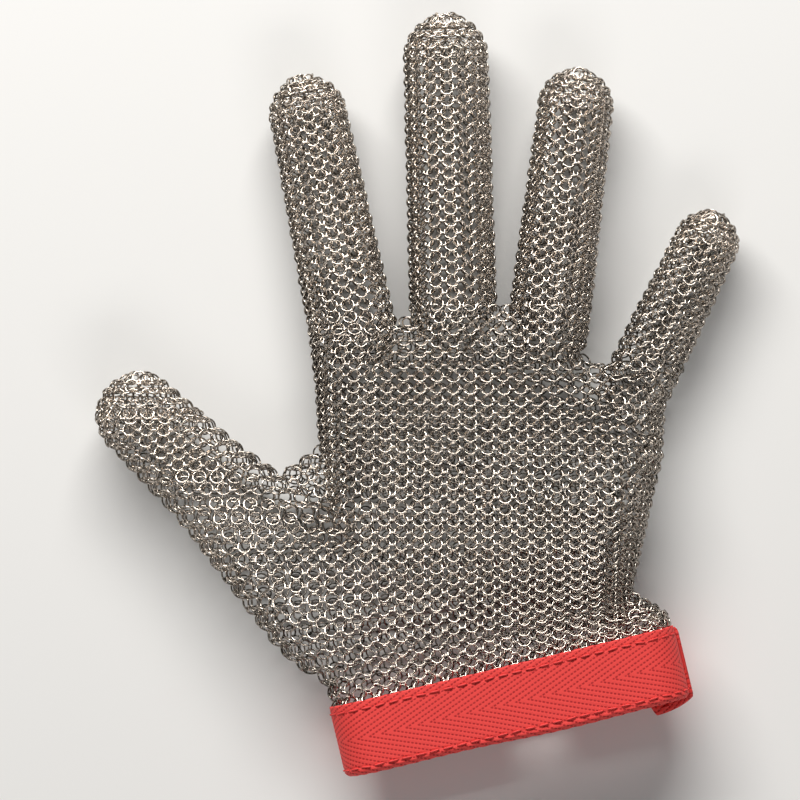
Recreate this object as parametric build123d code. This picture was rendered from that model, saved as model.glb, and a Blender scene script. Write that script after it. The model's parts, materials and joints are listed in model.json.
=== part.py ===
from build123d import *
import math
import os

# A butcher's chain mail glove lying on its back on a table, palm up.
# Millimetres and degrees. The origin is the middle of the hand's back, on the table.
# The fingers point along +Y, the thumb points to -X, and +Z is up.

# Driving dimensions of the mail
MAIL_WALL = 1.6            # one layer of linked rings
JOINT_GAP = 0.5            # between two tubes, measured at the fold axis
FOLD_MARGIN = 1.5          # extra degrees cut from each side of a fold
UPRIGHT_CUT = -2 * FOLD_MARGIN  # the bend whose cut is a plain upright plane
EDGE_SHARE = 0.44          # rounding of a tube's edges, as a share of its thickness

# The palm: one flat pouch round six discs, given as (x, y, radius)
PALM_THICKNESS = 26.0
PALM_EDGE = 9.0
PALM_DISCS = (
    (-37.0, 32.0, 12.3),
    (-8.0, 38.0, 12.0),
    (20.0, 31.0, 12.0),
    (44.0, 14.0, 10.8),
    (33.3, -31.4, 11.0),
    (-32.6, -46.1, 12.0),
)
PALM_SEAM_Z = PALM_THICKNESS / 2

# Each finger: root and fingertip disc centres, their radii, mid height and thickness
FINGERS = {
    "index": ((-38.0, 50.0), (-51.6, 115.8), 13.2, 11.5, 10.3, 19.0),
    "middle": ((-8.0, 56.0), (-10.2, 133.2), 13.1, 12.6, 10.6, 19.6),
    "ring": ((20.4, 51.0), (28.7, 118.3), 12.3, 11.2, 10.1, 18.6),
    "little": ((45.0, 30.0), (68.0, 77.0), 10.8, 9.7, 9.3, 17.0),
}
FOLDS_AT = (0.345, 0.665)          # second and third fold, as shares of a finger's length
FINGER_FOLDS = (70.0, 80.0, 40.0)  # how far the three folds of a finger bend
FINGER_LINKS = ("proximal", "middle", "distal")
ROOT_SIDE = 1.2                    # free room at each side of a finger's first fold
STUB_LENGTH = 30.0                 # how far a finger's tube runs back into the palm

# The thumb: one flat pouch round five discs, and its three folds
THUMB_THICKNESS = 21.5
THUMB_MID_Z = 12.2
THUMB_EDGE = 9.2
THUMB_DISCS = (
    (-102.2, 25.2, 13.0),
    (-80.5, 4.6, 14.7),
    (-69.0, -6.3, 17.0),
    (-45.0, -28.0, 23.0),
    (-40.5, -49.5, 10.3),
)
THUMB_ROOT = (-69.0, -6.3)
THUMB_TIP = (-102.2, 25.2)
THUMB_SECOND_FOLD = 29.0
THUMB_FOLDS = (32.0, 40.0, 50.0)   # base, root and tip folds
CREASE_X = -50.2                   # the fold between palm and thumb base
CREASE_Y = (-63.0, 17.0)
THUMB_TOP_Y = 40.0

# The cuff: a flattened loop of tape, in wrist axes: t along it, w towards the forearm
CUFF_MIDDLE = (6.3, -49.75)
CUFF_TILT = 13.4
CUFF_WIDTH = 106.0
CUFF_THICKNESS = 21.0
CUFF_DEPTH = 22.0
CUFF_LOW_Z = 5.4
TAPE = 1.0                         # one layer of tape
FOLDED_TAPE = 3.6                  # two layers with the mail between them
GROOVE = 1.6
GROOVE_DEPTH = 9.6
WRIST_WALL = 1.2
WRIST_CLEARANCE = 0.2
WRIST_SPAN = (-12.0, 9.0)
SLIT = (-1.0, 13.0)                # the donning slit in the hidden side
SLIT_REACH = 26.0

# The strap's free end, which closes the slit
STRAP = 1.6
STRAP_GAP = 0.15
STRAP_LOW_Z = 1.2
STRAP_END = -22.0
STRAP_RAMP = 34.0
STRAP_NARROW = (3.0, 21.0)
STRAP_WIDE = (4.0, 26.0)
STRAP_TOP_ANGLE = -6.0
STRAP_TRAVEL = 161.0

# Seams
STITCH = (3.0, 0.4, 0.7)           # length, height and width of one stitch
STITCH_PITCH = 4.2
SEAM_INSET = 1.7

# Snap fastener, stacked along Z
SNAP_T = -12.0
SNAP_W = 12.0
CAP_RADIUS = 6.2
CAP_EDGE = 0.8
SOCKET_RADIUS = 5.4
SOCKET_BORE = 3.9
SOCKET_FLOOR = 0.5
SOCKET_TOP_Z = 4.7
STUD_RADIUS = 5.0
STUD_FLANGE = 0.4
STUD_HEAD = 3.3
STUD_LOW_Z = 3.6
POST_RADIUS = 1.3
POST_FLANGE = 4.5
RIVET_RADIUS = 1.6
RIVET_TOP_Z = 3.2
HOLE_CLEARANCE = 0.1

REACH = 80.0                       # half the size of the tools that cut the folds

CUFF_MID_Z = CUFF_LOW_Z + CUFF_THICKNESS / 2
CUFF_TOP_Z = CUFF_LOW_Z + CUFF_THICKNESS
STRAIGHT = (CUFF_WIDTH - CUFF_THICKNESS) / 2
TILT = math.radians(CUFF_TILT)
WRIST = Plane(
    origin=(*CUFF_MIDDLE, 0),
    x_dir=(math.cos(TILT), math.sin(TILT), 0),
    z_dir=(math.sin(TILT), -math.cos(TILT), 0),
)


def pouch(discs, mid_z, thickness, edge, inset=0.0):
    """A flat pouch with rounded edges, whose outline is stretched round discs."""
    rings = [(Pos(x, y) * Circle(r - inset)).edge() for x, y, r in discs]
    height = thickness - 2 * inset
    block = extrude(Pos(0, 0, mid_z - height / 2) * make_hull(rings), height)
    levels = block.edges().group_by(Axis.Z)
    return fillet(levels[0] + levels[-1], edge - inset)


def fold_plane(root, along, mid_z):
    """A plane across a fold: its x points along the tube, its y up, its z is the fold axis."""
    length = math.hypot(*along)
    x, y = along[0] / length, along[1] / length
    return Plane(origin=(*root, mid_z), x_dir=(x, y, 0), z_dir=(y, -x, 0))


def fold_block(plane, start, slope, half_width):
    """A block on the far side of a fold, whose near face leans by a slope above the axis."""
    outline = Polyline(
        (start, -REACH),
        (start, 0),
        (start + REACH * slope, REACH),
        (3 * REACH, REACH),
        (3 * REACH, -REACH),
        close=True,
    )
    return extrude(plane * make_face(outline), half_width, both=True)


def fold_slope(bend):
    return math.tan(math.radians(bend / 2 + FOLD_MARGIN))


def beyond(plane, bend):
    """What a tube beyond a fold may fill, with room above the axis for the bend."""
    return fold_block(plane, JOINT_GAP / 2, fold_slope(bend), REACH)


def not_before(plane, bend, half_width=REACH):
    """What a tube before a fold must leave free, so that the next one can bend."""
    return fold_block(plane, -JOINT_GAP / 2, -fold_slope(bend), half_width)


def finger_shape(name, inset=0.0):
    """A whole finger, run back into the palm."""
    root, tip, root_radius, tip_radius, mid_z, thickness = FINGERS[name]
    along = (Vector(*tip) - Vector(*root)).normalized()
    back = Vector(*root) - along * STUB_LENGTH
    discs = ((back.X, back.Y, root_radius), (*root, root_radius), (*tip, tip_radius))
    return pouch(discs, mid_z, thickness, thickness * EDGE_SHARE, inset)


def finger_planes(name):
    """The three fold planes of a finger. The first axis lies along X, as knuckles do."""
    root, tip, root_radius, tip_radius, mid_z, thickness = FINGERS[name]
    along = Vector(*tip) - Vector(*root)
    length = along.length + tip_radius
    course = along.normalized()
    planes = [fold_plane(root, (0, 1), mid_z)]
    for share in FOLDS_AT:
        place = Vector(*root) + course * (share * length)
        planes.append(fold_plane((place.X, place.Y), (course.X, course.Y), mid_z))
    return planes


def thumb_planes():
    """The folds of the thumb: at its base, at its root and near its tip."""
    course = (Vector(*THUMB_TIP) - Vector(*THUMB_ROOT)).normalized()
    second = Vector(*THUMB_ROOT) + course * THUMB_SECOND_FOLD
    along = (course.X, course.Y)
    return [
        fold_plane((CREASE_X, sum(CREASE_Y) / 2), (-1, 0), THUMB_MID_Z),
        fold_plane(THUMB_ROOT, along, THUMB_MID_Z),
        fold_plane((second.X, second.Y), along, THUMB_MID_Z),
    ]


def band(width, thickness, start, end):
    """A solid flattened loop in wrist axes, from one depth to another."""
    outline = Pos(0, CUFF_MID_Z) * SlotOverall(width, thickness)
    return extrude(WRIST.offset(start) * outline, end - start)


def cuff_band(inset, start, end):
    return band(CUFF_WIDTH - 2 * inset, CUFF_THICKNESS - 2 * inset, start, end)


def wrist_box(t_span, z_span, w_span):
    """A box in wrist axes."""
    spans = (t_span, z_span, w_span)
    size = [high - low for low, high in spans]
    centre = [(high + low) / 2 for low, high in spans]
    return WRIST * (Pos(*centre) * Box(*size))


def upright(radius, low, high):
    """A cylinder on the snap's axis."""
    place = WRIST.from_local_coords(Vector(SNAP_T, 0, SNAP_W))
    height = high - low
    return Pos(place.X, place.Y, low + height / 2) * Cylinder(radius, height)


def largest(shape):
    """The biggest solid of a cut shape, without the crumbs that a cut may leave."""
    return shape.solids().sort_by(SortBy.VOLUME)[-1]


def hand_shells():
    """The palm panel, the back panel and the thumb base, cut from one hollow hand."""
    wrist_inset = TAPE + WRIST_CLEARANCE
    outer = pouch(PALM_DISCS, PALM_SEAM_Z, PALM_THICKNESS, PALM_EDGE)
    outer += pouch(THUMB_DISCS, THUMB_MID_Z, THUMB_THICKNESS, THUMB_EDGE)
    outer += cuff_band(wrist_inset, *WRIST_SPAN)
    inner = pouch(PALM_DISCS, PALM_SEAM_Z, PALM_THICKNESS, PALM_EDGE, MAIL_WALL)
    inner += pouch(THUMB_DISCS, THUMB_MID_Z, THUMB_THICKNESS, THUMB_EDGE, MAIL_WALL)
    inner += cuff_band(wrist_inset + WRIST_WALL, WRIST_SPAN[0], CUFF_DEPTH)
    for name in FINGERS:
        outer += finger_shape(name) - not_before(finger_planes(name)[0], FINGER_FOLDS[0])
        inner += finger_shape(name, MAIL_WALL)
    hand = outer - inner
    crease, root, tip = thumb_planes()
    for name, spec in FINGERS.items():
        hand -= not_before(finger_planes(name)[0], FINGER_FOLDS[0], spec[2] + ROOT_SIDE)
    thumb_base = (hand & beyond(crease, THUMB_FOLDS[0])) - not_before(root, THUMB_FOLDS[1])
    hand -= not_before(crease, THUMB_FOLDS[0], (CREASE_Y[1] - CREASE_Y[0]) / 2)
    above = fold_plane((CREASE_X, (CREASE_Y[1] + THUMB_TOP_Y) / 2), (-1, 0), THUMB_MID_Z)
    hand -= not_before(above, UPRIGHT_CUT, (THUMB_TOP_Y - CREASE_Y[1]) / 2)
    hand -= wrist_box(SLIT, (0, PALM_SEAM_Z), (-SLIT_REACH, CUFF_DEPTH))
    upper = Pos(0, 0, PALM_SEAM_Z + REACH) * Box(4 * REACH, 4 * REACH, 2 * REACH)
    return largest(hand & upper), largest(hand - upper), largest(thumb_base)


def finger_shells(name):
    """The three mail tubes of a finger."""
    shell = finger_shape(name) - finger_shape(name, MAIL_WALL)
    planes = finger_planes(name)
    tubes = []
    for i, bend in enumerate(FINGER_FOLDS):
        tube = shell & beyond(planes[i], bend)
        if i + 1 < len(planes):
            tube -= not_before(planes[i + 1], FINGER_FOLDS[i + 1])
        tubes.append(tube)
    return tubes


def thumb_shells():
    """The thumb's two tubes past its base."""
    shell = pouch(THUMB_DISCS, THUMB_MID_Z, THUMB_THICKNESS, THUMB_EDGE)
    shell -= pouch(THUMB_DISCS, THUMB_MID_Z, THUMB_THICKNESS, THUMB_EDGE, MAIL_WALL)
    crease, root, tip = thumb_planes()
    proximal = (shell & beyond(root, THUMB_FOLDS[1])) - not_before(tip, THUMB_FOLDS[2])
    return proximal, shell & beyond(tip, THUMB_FOLDS[2])


def cuff_tape():
    """The tape, folded round the mail's edge, with the slit and the post's hole."""
    tape = cuff_band(0, 0, CUFF_DEPTH) - cuff_band(FOLDED_TAPE, 0, CUFF_DEPTH)
    groove = cuff_band(TAPE, 0, GROOVE_DEPTH) - cuff_band(TAPE + GROOVE, 0, GROOVE_DEPTH)
    tape -= groove
    tape -= wrist_box(SLIT, (0, CUFF_MID_Z), (0, CUFF_DEPTH))
    return tape - upright(POST_RADIUS + HOLE_CLEARANCE, 0, CUFF_MID_Z)


def strap_tail():
    """The strap's free end: a hook round the cuff's corner, a ramp down, then a flat end."""
    inner = CUFF_THICKNESS / 2 + STRAP_GAP
    outer = inner + STRAP
    keep = Polyline(
        (0, 0),
        (0, -2 * outer),
        (2 * outer, -2 * outer),
        (2 * outer, 2 * outer * math.tan(math.radians(STRAP_TOP_ANGLE))),
        close=True,
    )
    corner = Pos(STRAIGHT, CUFF_MID_Z) * ((Circle(outer) - Circle(inner)) & make_face(keep))
    tail = extrude(WRIST.offset(STRAP_WIDE[0]) * corner, STRAP_WIDE[1] - STRAP_WIDE[0])
    width = STRAP_NARROW[1] - STRAP_NARROW[0]
    strap_top = STRAP_LOW_Z + STRAP
    ramp = Polyline(
        (STRAP_END + width / 2, strap_top),
        (STRAP_RAMP, strap_top),
        (STRAIGHT, CUFF_MID_Z - inner),
        (STRAIGHT, CUFF_MID_Z - outer),
        (STRAP_RAMP, STRAP_LOW_Z),
        (STRAP_END + width / 2, STRAP_LOW_Z),
        close=True,
    )
    tail += extrude(WRIST.offset(STRAP_NARROW[0]) * make_face(ramp), width)
    tip = WRIST.from_local_coords(Vector(STRAP_END + width / 2, 0, sum(STRAP_NARROW) / 2))
    tail += Pos(tip.X, tip.Y, STRAP_LOW_Z + STRAP / 2) * Cylinder(width / 2, STRAP)
    return tail - upright(RIVET_RADIUS + HOLE_CLEARANCE, 0, CUFF_MID_Z)


def strap_hinge():
    """Where the strap folds at the cuff's corner, and the fold's axis."""
    middle = CUFF_THICKNESS / 2 + STRAP_GAP + STRAP / 2
    angle = math.radians(STRAP_TOP_ANGLE)
    t = STRAIGHT + middle * math.cos(angle)
    z = CUFF_MID_Z + middle * math.sin(angle)
    return WRIST.from_local_coords(Vector(t, z, 0)), WRIST.z_dir


def stitches(t_span, z, w, skip=None):
    """A row of stitches along the tape, each a separate bar."""
    count = int((t_span[1] - t_span[0]) // STITCH_PITCH)
    first = (t_span[0] + t_span[1] - (count - 1) * STITCH_PITCH) / 2
    places = [first + i * STITCH_PITCH for i in range(count)]
    clear = [t for t in places if skip is None or not skip[0] < t < skip[1]]
    return [WRIST * (Pos(t, z, w) * Box(*STITCH)) for t in clear]


def cuff_seam(w):
    """One lockstitch seam, on the palm side and on the back of the cuff."""
    half = STITCH[1] / 2
    ends = (-STRAIGHT, STRAIGHT)
    gap = (SLIT[0] - STITCH[0], SLIT[1] + STITCH[0])
    rows = stitches(ends, CUFF_TOP_Z + half, w) + stitches(ends, CUFF_LOW_Z - half, w, gap)
    return Compound(children=rows)


def strap_seam():
    """The two lockstitch seams under the strap's free end."""
    z = STRAP_LOW_Z - STITCH[1] / 2
    ends = (STRAP_END + (STRAP_NARROW[1] - STRAP_NARROW[0]) / 2, STRAP_RAMP)
    rows = stitches(ends, z, STRAP_NARROW[0] + SEAM_INSET)
    return Compound(children=rows + stitches(ends, z, STRAP_NARROW[1] - SEAM_INSET))


def snap_pieces():
    """Cap and socket clench the strap; stud and post clench the back of the cuff."""
    strap_top = STRAP_LOW_Z + STRAP
    cap = upright(CAP_RADIUS, 0, STRAP_LOW_Z)
    cap = fillet(cap.edges().group_by(Axis.Z)[0], CAP_EDGE)
    cap += upright(RIVET_RADIUS, STRAP_LOW_Z, RIVET_TOP_Z)
    socket = upright(SOCKET_RADIUS, strap_top, SOCKET_TOP_Z)
    socket -= upright(SOCKET_BORE, strap_top + SOCKET_FLOOR, SOCKET_TOP_Z)
    socket -= upright(RIVET_RADIUS + HOLE_CLEARANCE, strap_top, SOCKET_TOP_Z)
    stud = upright(STUD_RADIUS, CUFF_LOW_Z - STUD_FLANGE, CUFF_LOW_Z)
    stud += upright(STUD_HEAD, STUD_LOW_Z, CUFF_LOW_Z)
    tape_top = CUFF_LOW_Z + FOLDED_TAPE
    post = upright(POST_RADIUS, CUFF_LOW_Z, tape_top)
    post += upright(POST_FLANGE, tape_top, tape_top + SOCKET_FLOOR)
    return {"snap_cap": cap, "snap_socket": socket, "snap_stud": stud, "snap_post": post}


def build():
    """Every piece of the glove, by its name."""
    pieces = {}
    pieces["palm_mail"], pieces["back_mail"], pieces["thumb_base_mail"] = hand_shells()
    pieces["thumb_proximal_mail"], pieces["thumb_distal_mail"] = thumb_shells()
    for name in FINGERS:
        for link, tube in zip(FINGER_LINKS, finger_shells(name)):
            pieces[f"{name}_{link}_mail"] = tube
    pieces["cuff_tape"] = cuff_tape()
    pieces["cuff_upper_seam"] = cuff_seam(SEAM_INSET)
    pieces["cuff_lower_seam"] = cuff_seam(CUFF_DEPTH - SEAM_INSET)
    pieces["strap_tail"] = strap_tail()
    pieces["strap_seam"] = strap_seam()
    pieces.update(snap_pieces())
    return pieces


pieces = build()
os.makedirs("parts", exist_ok=True)
for node, shape in pieces.items():
    export_step(shape, f"parts/{node}.step")
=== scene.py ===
import json
import math

import bpy
import numpy as np
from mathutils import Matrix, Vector


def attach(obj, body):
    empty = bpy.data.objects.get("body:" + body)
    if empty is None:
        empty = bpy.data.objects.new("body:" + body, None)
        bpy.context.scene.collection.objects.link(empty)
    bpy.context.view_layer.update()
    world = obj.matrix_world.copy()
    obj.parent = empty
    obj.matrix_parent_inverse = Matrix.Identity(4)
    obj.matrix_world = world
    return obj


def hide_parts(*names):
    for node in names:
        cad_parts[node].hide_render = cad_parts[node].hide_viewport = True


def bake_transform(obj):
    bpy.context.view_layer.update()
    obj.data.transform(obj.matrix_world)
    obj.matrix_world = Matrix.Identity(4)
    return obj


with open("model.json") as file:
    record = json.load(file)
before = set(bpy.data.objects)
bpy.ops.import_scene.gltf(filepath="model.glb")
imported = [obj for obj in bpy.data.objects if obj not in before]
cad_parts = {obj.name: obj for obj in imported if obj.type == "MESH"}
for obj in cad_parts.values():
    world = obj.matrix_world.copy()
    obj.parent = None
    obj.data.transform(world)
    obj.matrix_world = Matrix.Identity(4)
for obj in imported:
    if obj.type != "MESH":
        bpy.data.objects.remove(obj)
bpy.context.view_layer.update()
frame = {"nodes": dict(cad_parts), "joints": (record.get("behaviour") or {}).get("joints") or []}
joints = {joint["name"]: joint for joint in frame["joints"]}
rng = np.random.default_rng(7)

MM = 0.001

# ---- the weave, in mm ----
RING = 1.98  # mean radius of a ring
WIRE = 0.265  # radius of the wire
RING_STEPS = 16
WIRE_STEPS = 6
ROW = 1.8  # from one row to the next
TIP_ROW = 0.9 * ROW  # the same where a tip closes
HAND_PITCH = ((-50, 5.3), (0, 5.2), (50, 4.93))  # y, and the pitch along a row there
THUMB_PITCH = 5.15
FINGER_PITCH = 4.95
TILT = math.radians(27)  # lean of a ring, one way in odd rows and the other in even ones
HANGING = 0.45  # steepness at which mail begins to hang down a side; at twice that it hangs wholly
SIDE_CROWD = 0.5  # how much closer the rings hang on the sides
SIDE_SHINGLE = math.radians(24)  # how far they then lie over one another
TIP_CROWD = 0.2  # how much closer they gather at a closed tip
TIP_GATHER = 0.8  # angle round a tip over which they do, rad
SKIN = 1.1  # from the shell's face to the middle of the rings
FLOOR_GAP = 0.5  # from the floor to the shell's face
LOOSE = 0.05  # play of a ring, sideways
LOOSE_TILT = math.radians(2.2)
LOOSE_ROLL = math.radians(2.5)

# ---- the hand, in mm: discs are x, y and radius ----
FINGERS = ("index", "middle", "ring", "little")
ROOT_RADIUS = {"index": 13.2, "middle": 13.1, "ring": 12.3, "little": 10.8}
TIP_RADIUS = {"index": 11.5, "middle": 12.6, "ring": 11.2, "little": 9.7}
HALF_HEIGHT = {"index": 9.5, "middle": 9.8, "ring": 9.3, "little": 8.5}
TIP_FOLD_AT = 0.665  # share of a finger's length at its last fold
SPLIT_ROW = {"index": 3, "middle": 0, "ring": 0, "little": 10}  # where a finger parts from the next one
SPLIT_FROM = 36.0  # every finger parts above this y
SQUARE_ON = {"index": 1.0, "middle": 1.0, "ring": 1.0, "little": 0.62}  # how far rows turn square to it
SQUARE_OVER = 16.0  # length over which they turn
FINGER_CLOSED = math.radians(78)  # angle round the tip at the last row
PALM = (
    (-37, 32, 12.3),
    (-8, 38, 12),
    (20, 31, 12),
    (44, 14, 10.8),
    (33.3, -31.4, 11),
    (-32.6, -46.1, 12),
)
PALM_MID, PALM_HALF, PALM_EDGE = 13.0, 13.0, 12.0
THIN_FROM, THIN_OVER = 6.0, 40.0  # the palm thins over this stretch of y
THIN_SHARE, THIN_DROP = 0.34, 2.4  # by this share, and its middle drops
THUMB = ((-102.2, 25.2, 13), (-80.5, 4.6, 14.7), (-69, -6.3, 17), (-45, -28, 23), (-40.5, -49.5, 10.3))
THUMB_MIDS = (12.2, 12.2, 12.6, 13.0)
THUMB_HALVES = (10.75, 10.75, 11.8, 12.6)
THUMB_EDGE = 10.75
THUMB_ROWS_X, THUMB_ROWS_Y = -58.0, 8.0  # past these an outline is the thumb's
THUMB_TIP_X = -70.0
THUMB_TOP = 26.0  # above this the thumb has rows of its own, which close its tip
THUMB_DOME = 10.5  # radius round which they do
THUMB_CLOSED = math.radians(80)
WEBS = (
    ((-38, 44, 8.5), (-22, 43.9, 9.7), (-8, 47, 9)),
    ((-8, 49, 9), (7, 49.9, 9.7), (20, 46, 9)),
    ((20, 40, 8), (33.6, 32.2, 9.4), (45, 26, 8)),
    ((-59, -4.5, 11.5), (-43, 9, 9)),
)
WEB_MID, WEB_HALF, WEB_EDGE = 11.5, 5.6, 7.0
SIDES = (((-37, 32, 12.3), (-38, 50, 13.2)), ((44, 14, 10.8), (45, 30, 10.8)))  # palm to outer fingers
SIDE_MID, SIDE_HALF, SIDE_EDGE = 11.0, 10.2, 10.0
MOUNDS = (  # centre x and y, reach in x and y, height
    (2, 2, 22, 26, -2.6),  # the palm's hollow
    (-40, -22, 20, 22, 1.6),  # ball of the thumb
    (30, -8, 14, 26, 0.9),  # below the little finger
    (-4, 44, 40, 8, 0.8),  # below the fingers
)
MOUND_EDGE = 12.0
UNION = 1.2  # softness where pads meet

# ---- the wrist, in mm: t runs along the cuff and w towards the wrist ----
CUFF_ORIGIN = np.array([6.3, -49.75])
CUFF_SKEW = math.radians(13.4)
CUFF_T = np.array([math.cos(CUFF_SKEW), math.sin(CUFF_SKEW)])
CUFF_W = np.array([math.sin(CUFF_SKEW), -math.cos(CUFF_SKEW)])
CUFF_MID = 15.9
CUFF_STRAIGHT = 42.5
CUFF_END = 10.5
CUFF_DEPTH = 22.0
TAPE = 1.0
FOLD_GAP = 1.6
CUFF_WALL = 2 * TAPE + FOLD_GAP
WRIST_FROM, WRIST_OVER = -15.0, 13.0  # the mail takes the cuff's section over this stretch of w


def smooth(x):
    x = np.clip(x, 0.0, 1.0)
    return x * x * (3 - 2 * x)


def rounded(share):
    """Height of a quarter round, from 0 at share 0 to 1 at share 1."""
    return np.sqrt(1 - (1 - np.clip(share, 0, 1)) ** 2)


def unit(v):
    return v / np.linalg.norm(v, axis=1)[:, None]


def joint_at(name):
    return np.array(joints[name]["pos_m"]) / MM


# ---------------------------------------------------------------- the hand's shape
def half_hull(points):
    """One side of the convex hull of sorted points."""
    out = []
    for p in points:
        while len(out) > 1 and np.cross(out[-1] - out[-2], p - out[-2]) <= 1e-9:
            out.pop()
        out.append(p)
    return out


class Pad:
    """A pillow over the convex outline round some discs."""

    def __init__(self, discs, mid, half, edge):
        turn = np.linspace(0, 2 * math.pi, 72, endpoint=False)
        circle = np.stack([np.cos(turn), np.sin(turn)], 1)
        points = np.concatenate([(x, y) + (r - SKIN) * circle for x, y, r in discs])
        points = points[np.lexsort((points[:, 1], points[:, 0]))]
        hull = np.array(half_hull(points)[:-1] + half_hull(points[::-1])[:-1])
        side = np.roll(hull, -1, 0) - hull
        self.normals = unit(np.stack([side[:, 1], -side[:, 0]], 1))
        self.offsets = (self.normals * hull).sum(1)
        self.mid = mid
        self.half = half - SKIN
        self.edge = edge

    def depth(self, p):
        return (self.offsets - p @ self.normals.T).min(1)

    def rise(self, depth):
        return self.half * rounded(depth / self.edge)


class Finger:
    """Axis and pad of a finger, from its folds."""

    def __init__(self, name):
        self.root = joint_at(f"{name}_root_fold")
        self.middle = joint_at(f"{name}_middle_fold")
        self.tip = joint_at(f"{name}_tip_fold")
        along = (self.tip - self.root)[:2]
        self.axis = along / np.linalg.norm(along)
        self.tip_radius = TIP_RADIUS[name]
        self.reach = np.linalg.norm(along) / TIP_FOLD_AT - self.tip_radius
        self.half = HALF_HEIGHT[name]
        discs = [(*self.root[:2], ROOT_RADIUS[name]), (*self.plan(self.reach), self.tip_radius)]
        self.pad = Pad(discs, self.root[2], self.half, self.tip_radius - SKIN)

    def plan(self, s):
        """Plan point s mm along the finger."""
        return self.root[:2] + self.axis * s

    def along(self, p):
        return (p[..., :2] - self.root[:2]) @ self.axis

    def beside(self, p):
        return np.abs((p[..., :2] - self.root[:2]) @ np.array([self.axis[1], -self.axis[0]]))


fingers = {name: Finger(name) for name in FINGERS}
palm_pad = Pad(PALM, PALM_MID, PALM_HALF, PALM_EDGE)
thumb_pads = [
    Pad(discs, mid, half, THUMB_EDGE) for *discs, mid, half in zip(THUMB, THUMB[1:], THUMB_MIDS, THUMB_HALVES)
]
web_pads = [Pad(discs, WEB_MID, WEB_HALF, WEB_EDGE) for discs in WEBS]
side_pads = [Pad(discs, SIDE_MID, SIDE_HALF, SIDE_EDGE) for discs in SIDES]
hand_pads = [palm_pad, *thumb_pads, *web_pads, *side_pads, *(f.pad for f in fingers.values())]


def relief(p):
    """Hollow of the palm and the mounds round it."""
    x, y = p.T
    return sum(h * np.exp(-(((x - cx) / rx) ** 2) - ((y - cy) / ry) ** 2) for cx, cy, rx, ry, h in MOUNDS)


def surface(p, pads, wrist=True):
    """Depth inside the outline, front height and back height at plan points."""
    front = np.zeros(len(p))
    back = np.zeros(len(p))
    mid = np.zeros(len(p))
    deepest = np.full(len(p), -1e9)
    for pad in pads:
        depth = pad.depth(p)
        up = pad.rise(depth)
        middle = pad.mid
        if pad is palm_pad:
            thin = smooth((p[:, 1] - THIN_FROM) / THIN_OVER)
            up = up * (1 - THIN_SHARE * thin)
            middle = middle - THIN_DROP * thin
        front += np.where(depth > 0, np.exp((middle + up) / UNION), 0)
        back += np.where(depth > 0, np.exp(-(middle - up) / UNION), 0)
        mid = np.where(depth > deepest, pad.mid, mid)
        deepest = np.maximum(deepest, depth)
    inside = deepest > 0
    front = np.where(inside, UNION * np.log(np.maximum(front, 1e-30)), mid)
    back = np.where(inside, -UNION * np.log(np.maximum(back, 1e-30)), mid)
    front = front + relief(p) * smooth(deepest / MOUND_EDGE)
    if wrist:
        from_origin = p - CUFF_ORIGIN
        t, w = from_origin @ CUFF_T, from_origin @ CUFF_W
        near = smooth((w - WRIST_FROM) / WRIST_OVER)
        half = CUFF_END - CUFF_WALL / 2
        depth = CUFF_STRAIGHT + half - np.abs(t)
        up = half * rounded(depth / half)
        front = front * (1 - near) + (CUFF_MID + up) * near
        back = back * (1 - near) + (CUFF_MID - up) * near
        deepest = deepest * (1 - near) + depth * near
    return deepest, front, np.maximum(back, SKIN + FLOOR_GAP)


# ---------------------------------------------------------------- outlines across the mail
STEP = 0.2  # between samples of an outline
ROW_LEFT, ROW_RIGHT = -150, 110  # how far a row line is searched
LEAST_SAMPLES = 12
BLUR = 9  # samples over which steepness is averaged
MARGIN = 3.5  # how far past its edges the columns of the front go on
SAME_OUTLINE = 3.0  # how far its middle may move from one row line to the next


def sections(origin, direction, pads, wrist=True):
    """Closed outlines of the mail across a row line: points, arc lengths, arc length at the right edge."""
    line = origin + np.arange(ROW_LEFT, ROW_RIGHT, STEP)[:, None] * direction
    depth, front, back = surface(line, pads, wrist)
    inside = (depth > 0).astype(int)
    starts = np.flatnonzero(np.diff(inside) == 1) + 1
    ends = np.flatnonzero(np.diff(inside) == -1)
    found = []
    for i, j in zip(starts, ends):
        if j - i < LEAST_SAMPLES:
            continue
        run = slice(i, j + 1)
        xy, top, bottom = line[run], front[run], back[run]
        left = [*(xy[0] - direction * STEP / 2), (top[0] + bottom[0]) / 2]
        right = [*(xy[-1] + direction * STEP / 2), (top[-1] + bottom[-1]) / 2]
        over = np.column_stack([xy, top])
        under = np.column_stack([xy, bottom])[::-1]
        loop = np.vstack([[left], over, [right], under, [left]])
        arc = np.concatenate([[0], np.cumsum(np.linalg.norm(np.diff(loop, axis=0), axis=1))])
        found.append((loop, arc, arc[len(over) + 1]))
    return found


def at(section, s):
    loop, arc, _ = section
    s = np.mod(s, arc[-1])
    return np.column_stack([np.interp(s, arc, loop[:, k]) for k in range(3)])


def hanging(steepness):
    return smooth((steepness - HANGING) / HANGING)


def crowded(section):
    """Arc lengths stretched where the mail hangs down the sides, which packs the rings closer there."""
    loop, arc, _ = section
    steepness = np.abs(np.diff(loop[:, 2])) / np.maximum(np.diff(arc), 1e-9)
    steepness = np.pad(steepness, BLUR // 2, mode="wrap")
    steepness = np.convolve(steepness, np.ones(BLUR) / BLUR, mode="valid")
    return np.concatenate([[0], np.cumsum(np.diff(arc) * (1 + SIDE_CROWD * hanging(steepness)))])


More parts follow.
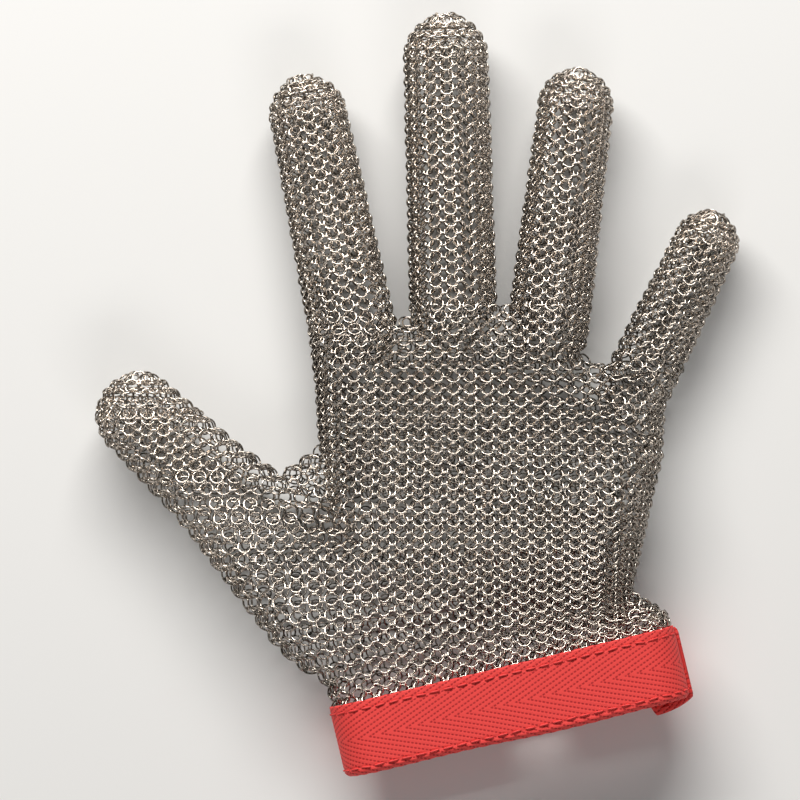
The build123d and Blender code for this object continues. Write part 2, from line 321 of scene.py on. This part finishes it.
def columns(section, start, pitch, half_step):
    """Arc lengths of a row's rings. They keep step with the start on the front and close up on the back."""
    _, arc, right_arc = section
    packed = crowded(section)
    right = np.interp(right_arc, arc, packed)
    start = np.interp(start, arc, packed)
    total = packed[-1]
    shift = 0.5 if half_step else 0.0
    first = math.ceil((-MARGIN - start) / pitch - shift)
    last = math.floor((right + MARGIN - start) / pitch - shift)
    if last <= first or total < 4 * pitch:
        n = max(3, round(total / pitch))
        places = start + (np.arange(n) + shift) * total / n
    else:
        over = start + (np.arange(first, last + 1) + shift) * pitch
        gap = total - (over[-1] - over[0])
        n = max(1, round(gap / pitch))
        places = np.concatenate([over, over[-1] + gap / n * np.arange(1, n)])
    return np.interp(np.mod(places, total), packed, arc)


def nearest(options, section):
    """The outline that carries this one on in the next row line, if there is one."""
    middle = section[0].mean(0)

    def away(option):
        return np.linalg.norm(option[0].mean(0) - middle)

    return min((option for option in options if away(option) < SAME_OUTLINE), key=away, default=None)


def matching(section, s, other):
    """Points of another outline at the same shares of its front and its back."""
    _, arc, right = section
    _, other_arc, other_right = other
    s = np.mod(s, arc[-1])
    over = s / right * other_right
    under = other_right + (s - right) / (arc[-1] - right) * (other_arc[-1] - other_right)
    return at(other, np.where(s < right, over, under))


# ---------------------------------------------------------------- rows of rings
LOOK = 0.6  # distance at which the neighbouring outlines are cut
HALF_CHORD = 0.7  # half of the chord that gives a ring its direction
STEEPEST = 4.0
FLAT_FROM, FLAT_OVER = 0.35, 0.45  # where a normal points up enough for the slope to lead

rings = []  # centre, direction along the row, direction across it, normal, lean


def across_rows(cut, s, centres, normals, square, neighbours, pads, wrist):
    """Directions from a row to the next one, in the face of the mail."""
    level = np.column_stack([np.tile(square, (len(s), 1)), np.zeros(len(s))])
    ahead, behind = (nearest(found, cut) for found in neighbours)
    if ahead is None or behind is None:
        return level
    drift = unit(matching(cut, s, ahead) - matching(cut, s, behind))
    _, front_ahead, back_ahead = surface(centres[:, :2] + LOOK * square, pads, wrist)
    _, front_behind, back_behind = surface(centres[:, :2] - LOOK * square, pads, wrist)
    climb = np.where(normals[:, 2] > 0, front_ahead - front_behind, back_ahead - back_behind)
    slope = np.clip(climb / (2 * LOOK), -STEEPEST, STEEPEST)
    lean = unit(level + slope[:, None] * np.array([0, 0, 1.0]))
    flat = smooth((np.abs(normals[:, 2]) - FLAT_FROM) / FLAT_OVER)[:, None]
    return flat * lean + (1 - flat) * drift


def lay_row(origin, direction, pads, pick, reference, pitch, row, wrist=True):
    """Lays one row of rings round every outline that pick accepts."""
    square = np.array([-direction[1], direction[0]])
    neighbours = [sections(origin + side * LOOK * square, direction, pads, wrist) for side in (1, -1)]
    for cut in sections(origin, direction, pads, wrist):
        if not pick(cut):
            continue
        loop, arc, right = cut
        n_front = np.searchsorted(arc, right)
        along = (loop[:n_front, :2] - origin) @ direction
        start = np.interp(reference(cut), along, arc[:n_front])
        s = columns(cut, start, pitch, row % 2 == 1)
        centres = at(cut, s)
        t = unit(at(cut, s + HALF_CHORD) - at(cut, s - HALF_CHORD))
        normals = unit(np.column_stack([-t[:, 2, None] * direction, t[:, :2] @ direction]))
        up = across_rows(cut, s, centres, normals, square, neighbours, pads, wrist)
        up = unit(up - (up * t).sum(1)[:, None] * t)
        lean = 1.0 if row % 2 else -1.0
        rings.extend(zip(centres, t, up, np.cross(t, up), [lean] * len(s)))


def tip_pitch(pitch, theta):
    return pitch * (1 - TIP_CROWD * float(smooth(theta / TIP_GATHER)))


# ---- the palm and the thumb ----
TOP_ROW = 58.5  # y of the highest row that crosses two fingers
LAST_FREE_ROW = -5.0  # below this the rows are spread so that one of them meets the cuff's edge
LOW_ROWS = 27  # rows from there down to the cuff
HIDDEN_ROWS = 2  # rows inside the fold of the cuff
SLOPES = ((CUFF_ORIGIN[1], math.tan(CUFF_SKEW)), (-25, 0.05), (0, -0.03), (20, -0.02), (50, 0.0))
MIDDLE_COLUMN = -8.0  # x of the column that the others keep step with

row_heights = list(np.arange(TOP_ROW, LAST_FREE_ROW, -ROW))
low = row_heights[-1]
low_rows = range(1, LOW_ROWS + HIDDEN_ROWS + 1)
row_heights += [low + (CUFF_ORIGIN[1] - low) * k / LOW_ROWS for k in low_rows]


def pick_hand(y, row):
    """Picks the outlines of a row that aren't a parted finger's or the thumb's tip."""

    def pick(cut):
        centre = cut[0][:, 0].mean()
        if centre < THUMB_ROWS_X and y > THUMB_ROWS_Y:
            return y < THUMB_TOP
        if y > SPLIT_FROM:
            for name, f in fingers.items():
                x = f.plan((y - f.root[1]) / f.axis[1])[0]
                if abs(x - centre) < 5 and row < SPLIT_ROW[name]:
                    return False
        return True

    return pick


def hand_reference(pitch):
    """Finds the column nearest the middle of an outline, from the cuff's origin."""

    def reference(cut):
        xs = cut[0][:, 0]
        base = MIDDLE_COLUMN - CUFF_ORIGIN[0]
        centre = (xs.min() + xs.max()) / 2 - CUFF_ORIGIN[0]
        return base + pitch * round((centre - base) / pitch)

    return reference


for row, y in enumerate(row_heights):
    slope = float(np.interp(y, *zip(*SLOPES)))
    direction = np.array([1, slope]) / math.hypot(1, slope)
    origin = np.array([CUFF_ORIGIN[0], y])
    pitch = float(np.interp(y, *zip(*HAND_PITCH)))
    lay_row(origin, direction, hand_pads, pick_hand(y, row), hand_reference(pitch), pitch, row)

tip_x, tip_y, tip_r = THUMB[0]
row = next(k for k, y in enumerate(row_heights) if y < THUMB_TOP)
theta = math.asin((row_heights[row] - tip_y) / (tip_r - SKIN))
while theta < THUMB_CLOSED:
    theta += TIP_ROW / THUMB_DOME
    row += 1
    lay_row(
        np.array([tip_x, tip_y + (tip_r - SKIN) * math.sin(theta)]),
        np.array([1.0, 0.0]),
        thumb_pads,
        lambda cut: cut[0][:, 0].mean() < THUMB_TIP_X,
        lambda cut: cut[0][:, 0].mean() - tip_x,
        tip_pitch(THUMB_PITCH, theta),
        row,
        False,
    )

# ---- the fingers ----
for name, f in fingers.items():
    start = (TOP_ROW - ROW * SPLIT_ROW[name] - f.root[1]) / f.axis[1]
    square_on = math.atan2(-f.axis[0], f.axis[1]) * SQUARE_ON[name]
    s = start
    row = SPLIT_ROW[name]
    theta = 0.0
    while theta < FINGER_CLOSED:
        row -= 1
        if s < f.reach:
            s += ROW
        else:
            theta += TIP_ROW / (f.half + 0.6)
            s = f.reach + (f.tip_radius - SKIN) * math.sin(theta)
        turn = square_on * float(smooth((s - start) / SQUARE_OVER))
        direction = np.array([math.cos(turn), math.sin(turn)])
        pitch = tip_pitch(FINGER_PITCH, theta)
        lay_row(f.plan(s), direction, [f.pad], lambda cut: True, lambda cut: 0.0, pitch, row, False)

# ---- how each ring lies, with a little play ----
centre, tangent, column, normal, lean = (np.array(values) for values in zip(*rings))
count = len(rings)
centre = centre + rng.normal(0, LOOSE, (count, 3))
angle = (lean * TILT + rng.normal(0, LOOSE_TILT, count))[:, None]
roll = rng.normal(0, LOOSE_ROLL, count)[:, None]
shingle = (hanging(np.abs(tangent[:, 2])) * SIDE_SHINGLE)[:, None]
shingled = tangent * np.cos(shingle) + normal * np.sin(shingle)
outward = normal * np.cos(shingle) - tangent * np.sin(shingle)
across = shingled * np.cos(roll) + column * np.sin(roll)
raised = np.cross(outward, across) * np.cos(angle) + outward * np.sin(angle)
axis = np.cross(across, raised)

# Fingers and thumb are painted lighter than the palm. The sides and the back are painted darker than faces
# turned up, as painted shade. A random tone comes on top.
on_finger = smooth((centre[:, 1] - 38) / 40)
on_thumb = smooth((-58 - centre[:, 0]) / 25)
turned_up = smooth((normal[:, 2] + 0.1) / 0.95)
tone_and_shade = rng.uniform(0, 0.3, count) + 0.04 + 0.51 * turned_up + 0.15 * np.maximum(on_finger, on_thumb)


# ---------------------------------------------------------------- materials
def principled(name, color, metallic, roughness):
    mat = bpy.data.materials.new(name)
    mat.use_nodes = True
    shader = mat.node_tree.nodes["Principled BSDF"]
    shader.inputs["Base Color"].default_value = (*color, 1)
    shader.inputs["Metallic"].default_value = metallic
    shader.inputs["Roughness"].default_value = roughness
    return mat, shader


def ring_steel():
    """Steel wire, dull and dark at one end of its colour attribute and bright at the other. The attribute
    mixes a random tone with painted shade on the sides and back of the glove, and with fingers and thumb
    painted lighter.
    """
    mat, shader = principled("ring_steel", (0.5, 0.47, 0.43), 1.0, 0.28)
    nodes, links = mat.node_tree.nodes, mat.node_tree.links
    attr = nodes.new("ShaderNodeAttribute")
    attr.attribute_name = "tone_and_shade"
    shade = nodes.new("ShaderNodeValToRGB")
    shade.color_ramp.elements[0].color = (0.085, 0.078, 0.066, 1)
    shade.color_ramp.elements[1].color = (0.83, 0.74, 0.65, 1)
    links.new(attr.outputs["Fac"], shade.inputs["Fac"])
    links.new(shade.outputs["Color"], shader.inputs["Base Color"])
    rough = nodes.new("ShaderNodeMapRange")
    rough.inputs["To Min"].default_value = 0.24
    rough.inputs["To Max"].default_value = 0.17
    links.new(attr.outputs["Fac"], rough.inputs["Value"])
    links.new(rough.outputs["Result"], shader.inputs["Roughness"])
    return mat


RIB_ANGLE = math.radians(22)
RIB_PITCH = 1.4
DOT_PITCH = 1.15  # along the groove between two ribs
RELIEF = 0.13


def rib_height(u, v):
    """Relief of the herringbone, from 0 to 1, at mm along the tape and mm from its spine."""
    phase = (u * math.sin(RIB_ANGLE) - v * math.cos(RIB_ANGLE)) / RIB_PITCH
    return np.abs(np.cos(math.pi * phase)) ** 0.6


def tape_cloth():
    """Red herringbone tape, with painted shade darkening the grooves between its ribs. The weave attribute
    holds mm along the tape and mm from its spine.
    """
    mat, shader = principled("tape_cloth", (0.6, 0.035, 0.03), 0.0, 0.72)
    nodes, links = mat.node_tree.nodes, mat.node_tree.links
    attr = nodes.new("ShaderNodeAttribute")
    attr.attribute_name = "weave"
    split = nodes.new("ShaderNodeSeparateXYZ")
    links.new(attr.outputs["Vector"], split.inputs[0])

    def math_node(kind, *values):
        node = nodes.new("ShaderNodeMath")
        node.operation = kind
        for socket, value in zip(node.inputs, values):
            if isinstance(value, (int, float)):
                socket.default_value = value
            else:
                links.new(value, socket)
        return node.outputs[0]

    def times(value, factor):
        return math_node("MULTIPLY", value, factor)

    u, v = split.outputs["X"], split.outputs["Y"]
    sine, cosine = math.sin(RIB_ANGLE), math.cos(RIB_ANGLE)
    across_rib = math_node("SUBTRACT", times(u, sine), times(v, cosine))
    along_rib = math_node("ADD", times(u, cosine), times(v, sine))
    rib = math_node("ABSOLUTE", math_node("COSINE", times(across_rib, math.pi / RIB_PITCH)))
    dot = math_node("ABSOLUTE", math_node("SINE", times(along_rib, math.pi / DOT_PITCH)))
    groove = nodes.new("ShaderNodeMapRange")
    groove.interpolation_type = "SMOOTHSTEP"
    groove.inputs["From Min"].default_value = 0.85
    groove.inputs["From Max"].default_value = 0.25
    links.new(rib, groove.inputs["Value"])
    dotted = math_node("ADD", times(dot, 0.85), 0.15)
    height = math_node("SUBTRACT", 1.0, times(groove.outputs["Result"], dotted))
    # the grooves are painted darker: painted shade in the weave's recesses, besides the bump
    shade = nodes.new("ShaderNodeValToRGB")
    dark, light = shade.color_ramp.elements
    dark.position = 0.1
    dark.color = (0.42, 0.008, 0.010, 1)
    light.position = 0.8
    light.color = (0.86, 0.060, 0.052, 1)
    links.new(height, shade.inputs["Fac"])
    links.new(shade.outputs["Color"], shader.inputs["Base Color"])
    bump = nodes.new("ShaderNodeBump")
    bump.inputs["Strength"].default_value = 0.6
    bump.inputs["Distance"].default_value = 0.00012
    links.new(height, bump.inputs["Height"])
    links.new(bump.outputs["Normal"], shader.inputs["Normal"])
    return mat


steel = ring_steel()
cloth = tape_cloth()
thread, _ = principled("seam_thread", (0.74, 0.042, 0.038), 0.0, 0.6)
chrome, _ = principled("snap_chrome", (0.82, 0.82, 0.83), 1.0, 0.16)


# ---------------------------------------------------------------- meshes
def placed(name, mesh, material):
    """A smooth object of a mesh, in the scene."""
    mesh.polygons.foreach_set("use_smooth", np.ones(len(mesh.polygons), dtype=bool))
    mesh.update()
    mesh.materials.append(material)
    obj = bpy.data.objects.new(name, mesh)
    bpy.context.scene.collection.objects.link(obj)
    return obj


def grid_faces(rows, cols, close_rows):
    """Quads of a grid of points that closes on itself in columns and, if asked, in rows."""
    i, j = np.meshgrid(np.arange(rows if close_rows else rows - 1), np.arange(cols), indexing="ij")
    i_next, j_next = (i + 1) % rows, (j + 1) % cols
    corners = [i * cols + j, i_next * cols + j, i_next * cols + j_next, i * cols + j_next]
    return np.stack(corners, -1).reshape(-1, 4)


def ring_points():
    """Points of one ring about the origin, its axis along z."""
    turn = np.linspace(0, 2 * math.pi, RING_STEPS, endpoint=False)
    wire = np.linspace(0, 2 * math.pi, WIRE_STEPS, endpoint=False)
    turn, wire = (grid.ravel() for grid in np.meshgrid(turn, wire, indexing="ij"))
    out = RING + WIRE * np.cos(wire)
    return np.stack([out * np.cos(turn), out * np.sin(turn), WIRE * np.sin(wire)], 1)


template = ring_points()
ring_quads = grid_faces(RING_STEPS, WIRE_STEPS, True)


def ring_piece(name, chosen):
    """One mesh of the chosen rings."""
    idx = np.flatnonzero(chosen)
    basis = np.stack([across[idx], raised[idx], axis[idx]], 1)
    verts = np.einsum("vk,nkc->nvc", template, basis) + centre[idx][:, None, :]
    faces = ring_quads[None] + (np.arange(len(idx)) * len(template))[:, None, None]
    mesh = bpy.data.meshes.new(name)
    mesh.vertices.add(len(idx) * len(template))
    mesh.vertices.foreach_set("co", (verts * MM).astype(np.float32).ravel())
    mesh.loops.add(faces.size)
    mesh.loops.foreach_set("vertex_index", faces.astype(np.int32).ravel())
    mesh.polygons.add(faces.size // 4)
    mesh.polygons.foreach_set("loop_start", np.arange(0, faces.size, 4, dtype=np.int32))
    mesh.update(calc_edges=True)
    mesh.validate()
    obj = placed(name, mesh, steel)
    # per ring: a random tone, painted shade on the sides and back, fingers and thumb painted lighter
    layer = mesh.attributes.new("tone_and_shade", "FLOAT", "POINT")
    layer.data.foreach_set("value", np.repeat(tone_and_shade[idx], len(template)).astype(np.float32))
    return obj


def swept(name, points, material):
    """A closed tube with flat ends through outlines of points, as (outlines, points, 3) in mm."""
    n, m = points.shape[:2]
    ends = [list(range(m)), list(range(n * m - 1, (n - 1) * m - 1, -1))]
    mesh = bpy.data.meshes.new(name)
    mesh.from_pydata((points.reshape(-1, 3) * MM).tolist(), [], grid_faces(n, m, False).tolist() + ends)
    return placed(name, mesh, material)


def weave_layer(obj, along, spine):
    layer = obj.data.attributes.new("weave", "FLOAT_VECTOR", "POINT")
    data = np.column_stack([np.ravel(along), np.ravel(spine), np.zeros(np.size(along))])
    layer.data.foreach_set("vector", data.astype(np.float32).ravel())


STITCH_SIDES = 8
STITCH_STEPS = np.array([0.0, 0.05, 0.2, 0.5, 0.8, 0.95, 1.0])
STITCH_TAPER = np.array([0.25, 0.7, 0.95, 1.0, 0.95, 0.7, 0.25])
STITCH_ARCH = 0.12


def stitches(name, starts, ends, ups, radius):
    """Short rounded threads from starts to ends, arched a little upwards."""
    starts, ends, ups = map(np.asarray, (starts, ends, ups))
    run = ends - starts
    side = unit(np.cross(unit(run), ups))
    up = np.cross(side, unit(run))
    turn = np.linspace(0, 2 * math.pi, STITCH_SIDES, endpoint=False)
    arch = np.sin(math.pi * STITCH_STEPS) * STITCH_ARCH
    middle = starts[:, None] + run[:, None] * STITCH_STEPS[:, None] + up[:, None] * arch[:, None]
    spoke = np.cos(turn)[:, None] * side[:, None] + np.sin(turn)[:, None] * up[:, None]
    verts = middle[:, :, None] + (STITCH_TAPER * radius)[:, None, None] * spoke[:, None]
    size = len(STITCH_STEPS) * STITCH_SIDES
    quads = grid_faces(len(STITCH_STEPS), STITCH_SIDES, False)[:, ::-1]
    caps = np.array([range(STITCH_SIDES - 1, -1, -1), range(size - STITCH_SIDES, size)])
    faces = []
    for k in range(len(starts)):
        faces += (quads + k * size).tolist() + (caps + k * size).tolist()
    mesh = bpy.data.meshes.new(name)
    mesh.from_pydata((verts.reshape(-1, 3) * MM).tolist(), [], faces)
    obj = placed(name, mesh, thread)
    return obj


# ---------------------------------------------------------------- share the rings out
thumb_root = joint_at("thumb_root_fold")
thumb_tip = joint_at("thumb_tip_fold")
thumb_axis = (thumb_tip - thumb_root)[:2]
thumb_axis /= np.linalg.norm(thumb_axis)


def share_out():
    """The piece that each ring belongs to."""
    owner = np.full(count, "", dtype=object)
    x, y, _ = centre.T
    beside = {name: f.beside(centre) for name, f in fingers.items()}
    for name, f in fingers.items():
        s = f.along(centre)
        middle, tip = f.along(f.middle), f.along(f.tip)
        closest = beside[name] <= np.minimum.reduce([beside[other] for other in FINGERS if other != name])
        mine = closest & (beside[name] < ROOT_RADIUS[name] + 4) & (y > f.root[1] - 9) & (y > -5)
        owner[mine & (s <= middle / 2)] = f"{name}_root"
        owner[mine & (s > middle / 2)] = f"{name}_middle"
        owner[mine & (s > (middle + tip) / 2)] = f"{name}_tip"
    s = (centre[:, :2] - thumb_root[:2]) @ thumb_axis
    tip_s = (thumb_tip - thumb_root)[:2] @ thumb_axis
    thumb_side = ((x < -43) & (y < 9)) | ((x < -57) & (y < 45))
    owner[thumb_side] = "thumb_crease"
    owner[thumb_side & (x < -57) & (s > -6)] = "thumb_root"
    owner[thumb_side & (s > tip_s / 2)] = "thumb_tip"
    rest = owner == ""
    facing = normal[:, 2] > -0.15
    for panel, mine in (("palm", rest & facing), ("back", rest & ~facing)):
        owner[mine & (y > 0)] = f"{panel}_upper"
        owner[mine & (y <= 0)] = f"{panel}_lower"
    return owner


def bend(obj):
    """Bakes the placement of the rings into their mesh; nothing is bent."""
    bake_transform(obj)


owner = share_out()
made = {name: ring_piece(f"{name}_rings", owner == name) for name in sorted(set(owner))}

for panel in ("palm", "back"):
    for half in ("upper", "lower"):
        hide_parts(f"{panel}_mail")
        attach(made[f"{panel}_{half}"], "hand")

for name, f in fingers.items():
    bend(made[f"{name}_root"])
    bend(made[f"{name}_middle"])
    bend(made[f"{name}_tip"])
    for part, link in (("root", "proximal"), ("middle", "middle"), ("tip", "distal")):
        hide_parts(f"{name}_{link}_mail")

bend(made["thumb_crease"])
bend(made["thumb_root"])
bend(made["thumb_tip"])
for part, link in (("crease", "base"), ("root", "proximal"), ("tip", "distal")):
    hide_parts(f"thumb_{link}_mail")

# ---------------------------------------------------------------- cuff
HALF_TURN = math.pi * CUFF_END
LOOP = 4 * CUFF_STRAIGHT + 2 * HALF_TURN
SLIT = (-1.0, 13.0)  # along t, in the hidden lower half
SLIT_U = tuple(CUFF_STRAIGHT + HALF_TURN + (CUFF_STRAIGHT - t) for t in reversed(SLIT))
PUCKER = 4.2  # pitch of the lockstitch and of the puckers beside it
STITCH = 3.0
SEAM_IN = 2.4  # from the tape's edges to the lockstitch


def to_world(t, w, z):
    p = CUFF_ORIGIN + np.outer(np.ravel(t), CUFF_T) + np.outer(np.ravel(w), CUFF_W)
    return np.column_stack([p, np.ravel(z)])


def stadium(u):
    """Point and outward normal on the cuff's outer face, in t and z.

    u is in mm from the middle of the front, clockwise seen from the wrist.
    """
    right_end = CUFF_STRAIGHT + HALF_TURN
    left_start = right_end + 2 * CUFF_STRAIGHT
    left_end = left_start + HALF_TURN
    u = np.mod(u, LOOP)
    flat = np.clip(u, 0, CUFF_STRAIGHT) - np.clip(u - right_end, 0, 2 * CUFF_STRAIGHT)
    flat = flat + np.clip(u - left_end, 0, CUFF_STRAIGHT)
    right_turn = np.clip((u - CUFF_STRAIGHT) / CUFF_END, 0, math.pi)
    turn = right_turn + np.clip((u - left_start) / CUFF_END, 0, math.pi)
    nt, nz = np.sin(turn), np.cos(turn)
    return flat + CUFF_END * nt, CUFF_MID + CUFF_END * nz, nt, nz


def cuff_profile():
    """Outline across the folded tape: mm out from the cuff's outer face, and mm from its top edge."""
    fold = CUFF_WALL / 2
    outline = [(0.0, w) for w in np.linspace(0.35, CUFF_DEPTH - 1.2, 84)]
    for g in np.radians([35, 65, 90, 115, 145]):
        outline.append((-fold + fold * math.cos(g), CUFF_DEPTH - fold + fold * math.sin(g)))
    outline += [(-CUFF_WALL, w) for w in np.linspace(CUFF_DEPTH - 1.8, 0.35, 30)]
    lip = ((0.12, 0.05), (0.5, 0.0), (TAPE - 0.12, 0.05), (TAPE, 0.35))
    outline += [(-CUFF_WALL + out, w) for out, w in lip]
    outline += [(-CUFF_WALL + TAPE, w) for w in (7.0, 14.0, CUFF_DEPTH - 2.4)]
    outline.append((-fold, CUFF_DEPTH - 1.4))
    outline += [(-TAPE, w) for w in (CUFF_DEPTH - 2.4, 14.0, 7.0, 0.35)]
    outline += [(-TAPE + 0.12, 0.05), (-0.5, 0.0), (-0.12, 0.05)]
    return np.array(outline).T


def cuff_tape():
    """The tape, folded over the wrist's edge, with its ribs, puckers and a slight sag."""
    out, w = cuff_profile()
    u, w = np.meshgrid(np.linspace(SLIT_U[1] - LOOP, SLIT_U[0], 500), w, indexing="ij")
    out = np.tile(out, (len(u), 1))
    spine = np.abs(w - CUFF_DEPTH / 2)
    waves = np.cos(2 * math.pi * u / PUCKER)
    ribs = (rib_height(u, spine) - 0.6) * RELIEF
    pucker = -0.14 * smooth((2.6 - np.minimum(w, CUFF_DEPTH - w)) / 2.6) * (0.5 + 0.5 * waves)
    from_seam = np.minimum(np.abs(w - SEAM_IN), np.abs(CUFF_DEPTH - SEAM_IN - w))
    seam = -0.10 * np.exp(-((from_seam / 0.4) ** 2))
    swell = ribs + pucker + seam
    out = out + np.where(out > -0.01, swell, 0) - np.where(out < -CUFF_WALL + 0.01, swell, 0)
    wavy = 0.08 * waves * (smooth((2.2 - w) / 2.2) - smooth((w - CUFF_DEPTH + 2.2) / 2.2))
    sag = 0.35 * np.sin(u / 23.0 + 0.6) + 0.2 * np.sin(u / 9.0)
    t, z, nt, nz = stadium(u)
    tuck = 0.9 * smooth((CUFF_MID - z) / 8) * (1 - w / CUFF_DEPTH)
    lowered = w + tuck + wavy + sag * smooth((w - 4) / 18)
    points = to_world(t + nt * out, lowered, z + nz * out).reshape(*u.shape, 3)
    obj = swept("cuff_tape_cloth", points, cloth)
    weave_layer(obj, u, spine)
    return obj


def cuff_seam(name, w):
    """A row of lockstitch round the cuff, outside and inside."""
    u = np.arange(SLIT_U[1] - LOOP + 2.0, SLIT_U[0] - 4.0, PUCKER)
    starts, ends, ups = [], [], []
    for out, sign in ((0.1, 1), (-CUFF_WALL - 0.1, -1)):
        wander = rng.normal(0, 0.12, len(u))
        for line, along, side in ((starts, u, 1), (ends, u + STITCH, -1)):
            t, z, nt, nz = stadium(along)
            line.append(to_world(t + nt * out, w + side * wander, z + nz * out))
        _, _, nt, nz = stadium(u)
        ups.append(sign * np.column_stack([np.outer(nt, CUFF_T), nz]))
    return stitches(name, np.vstack(starts), np.vstack(ends), np.vstack(ups), 0.3)


cuff = cuff_tape()
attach(cuff, "hand")
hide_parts("cuff_tape")
for edge, w in (("upper", SEAM_IN), ("lower", CUFF_DEPTH - SEAM_IN)):
    seam = cuff_seam(f"cuff_{edge}_lockstitch", w)
    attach(seam, "hand")
    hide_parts(f"cuff_{edge}_seam")

# ---------------------------------------------------------------- strap
STRAP = 1.2
HOOK = 11.2  # radius of its mid-line round the cuff's corner
HOOK_TOP = -9  # angle at which its folded end starts, degrees
RAMP = 8.5
STRAP_LOW_Z = 2.0
STRAP_END = -22.0
STRAP_STEP = 0.45
STRAP_ROUND = 6.0  # length of its rounded end
STRAP_SEAM_IN = 1.7  # from its edges to the stitches


def strap_path():
    """Mid-line of the strap, round the corner and down to the floor, as t, z and a unit normal."""
    around = np.radians(np.linspace(HOOK_TOP, -90, 60))
    down = np.linspace(0, 1, 24)[1:]
    level = np.arange(CUFF_STRAIGHT - RAMP - STRAP_STEP, STRAP_END, -STRAP_STEP)
    hook_t, hook_z = CUFF_STRAIGHT + HOOK * np.cos(around), CUFF_MID + HOOK * np.sin(around)
    hook_low = CUFF_MID - HOOK
    drop = hook_low + (STRAP_LOW_Z - hook_low) * smooth(down)
    t = np.concatenate([hook_t, CUFF_STRAIGHT - RAMP * down, level, [STRAP_END]])
    z = np.concatenate([hook_z, drop, np.full(len(level) + 1, STRAP_LOW_Z)])
    dt, dz = np.gradient(t), np.gradient(z)
    size = np.hypot(dt, dz)
    return t, z, -dz / size, dt / size


def strap_edges(t, z):
    """Both edges of the strap, as w. It narrows at the cuff's corner and is round at its end."""
    narrow = smooth((CUFF_STRAIGHT - t) / 2.5) * (z < CUFF_MID)
    under = np.clip((CUFF_MID - z) / HOOK, 0, 1) ** 1.5
    end = np.clip((STRAP_END + STRAP_ROUND - t) / STRAP_ROUND, 0, 1)
    pull = STRAP_ROUND * (1 - np.sqrt(1 - end**2 * 0.98))
    return 0.4 + 2.9 * under + pull, CUFF_DEPTH + 3.8 * under - 5.0 * narrow - pull


def strap_tape():
    """The strap, with its ribs on the face away from the cuff."""
    share = np.linspace(0, 1, 84)
    points, along, spine = [], [], []
    for t, z, nt, nz, near, far, run in zip(*strap_line, strap_run):
        face = near + (far - near) * share
        from_spine = np.abs(face - (near + far) / 2)
        out = STRAP / 2 + (rib_height(run, from_spine) - 1.0) * RELIEF
        out = out - 0.3 * np.exp(-((np.minimum(face - near, far - face) / 0.35) ** 2))
        lining = face[::-4]
        lining_out = np.full(len(lining), -STRAP / 2)
        lining_out[[0, -1]] += 0.25
        out = -np.concatenate([out, lining_out])
        points.append(to_world(t + nt * out, np.concatenate([face, lining]), z + nz * out))
        along.append(np.full(len(out), run))
        spine.append(np.concatenate([from_spine, from_spine[::-4]]))
    obj = swept("strap_cloth", np.array(points), cloth)
    weave_layer(obj, np.array(along), np.array(spine))
    return obj


def strap_stitches():
    """A row of stitches along each edge of the strap."""
    starts, ends, ups = [], [], []
    out = -(STRAP / 2 + 0.02)
    for s in np.arange(3.0, strap_run[-1] - 8, PUCKER):
        for edge in ("near", "far"):
            for line, along in ((starts, s), (ends, s + STITCH)):
                t, z, nt, nz, near, far = (np.interp(along, strap_run, values) for values in strap_line)
                w = near + STRAP_SEAM_IN if edge == "near" else far - STRAP_SEAM_IN
                line.append(to_world(t + nt * out, w, z + nz * out)[0])
            ups.append([*(CUFF_T * -nt), -nz])
    return stitches("strap_stitches", starts, ends, ups, 0.26)


path_t, path_z, path_nt, path_nz = strap_path()
near_edge, far_edge = strap_edges(path_t, path_z)
strap_line = (path_t, path_z, path_nt, path_nz, near_edge, far_edge)
strap_run = np.concatenate([[0], np.cumsum(np.hypot(np.diff(path_t), np.diff(path_z)))])
strap = strap_tape()
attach(strap, "strap")
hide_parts("strap_tail")
strap_flat = (CUFF_DEPTH * MM, float(strap_run[-1]) * MM)
strap_area = float(np.trapz(far_edge - near_edge, strap_run)) * MM * MM
strap_area = min(strap_area, 0.99 * strap_flat[0] * strap_flat[1])
strap_seam = strap_stitches()
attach(strap_seam, "strap")
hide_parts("strap_seam")

for node in ("snap_cap", "snap_socket", "snap_stud", "snap_post"):
    part = frame["nodes"][node]
    part.data.materials.clear()
    part.data.materials.append(chrome)

# ---------------------------------------------------------------- camera, floor and light
VIEW_X, VIEW_Y = -24.0, 30.0
FAR = 2200.0
MID_HEIGHT = 14.0
SHOWN = 240.0  # width that the camera takes in at that height
SENSOR = 36.0

camera = bpy.data.objects.new("camera", bpy.data.cameras.new("camera"))
camera.location = (VIEW_X * MM, VIEW_Y * MM, FAR * MM)
camera.data.sensor_width = SENSOR
camera.data.lens = SENSOR * (FAR - MID_HEIGHT) / SHOWN
bpy.context.scene.collection.objects.link(camera)
bpy.context.scene.camera = camera

floor_paper, _ = principled("floor_paper", (0.84, 0.835, 0.82), 0.0, 0.85)
bpy.ops.mesh.primitive_plane_add(size=6, location=(0, 0, 0))
floor = bpy.context.object
floor.name = "floor"
floor.data.materials.append(floor_paper)


def area_light(name, place, size, power, color):
    """A soft box, placed in metres and aimed at the middle of the glove."""
    light = bpy.data.lights.new(name, "AREA")
    light.shape = "RECTANGLE"
    light.size, light.size_y = size
    light.energy = power
    light.color = color
    obj = bpy.data.objects.new(name, light)
    obj.location = place
    obj.rotation_euler = (Vector((-0.02, 0.03, 0.01)) - Vector(place)).to_track_quat("-Z", "Y").to_euler()
    bpy.context.scene.collection.objects.link(obj)


area_light("key", (-0.3, 1.25, 0.86), (1.7, 0.4), 38, (1.0, 0.985, 0.96))
area_light("fill", (0.3, -1.1, 0.9), (1.2, 0.4), 5, (1.0, 0.98, 0.96))

world = bpy.data.worlds.new("studio")
world.use_nodes = True
world.node_tree.nodes["Background"].inputs["Color"].default_value = (0.97, 0.97, 1.0, 1)
world.node_tree.nodes["Background"].inputs["Strength"].default_value = 0.10
bpy.context.scene.world = world
bpy.context.scene.view_settings.view_transform = "Standard"
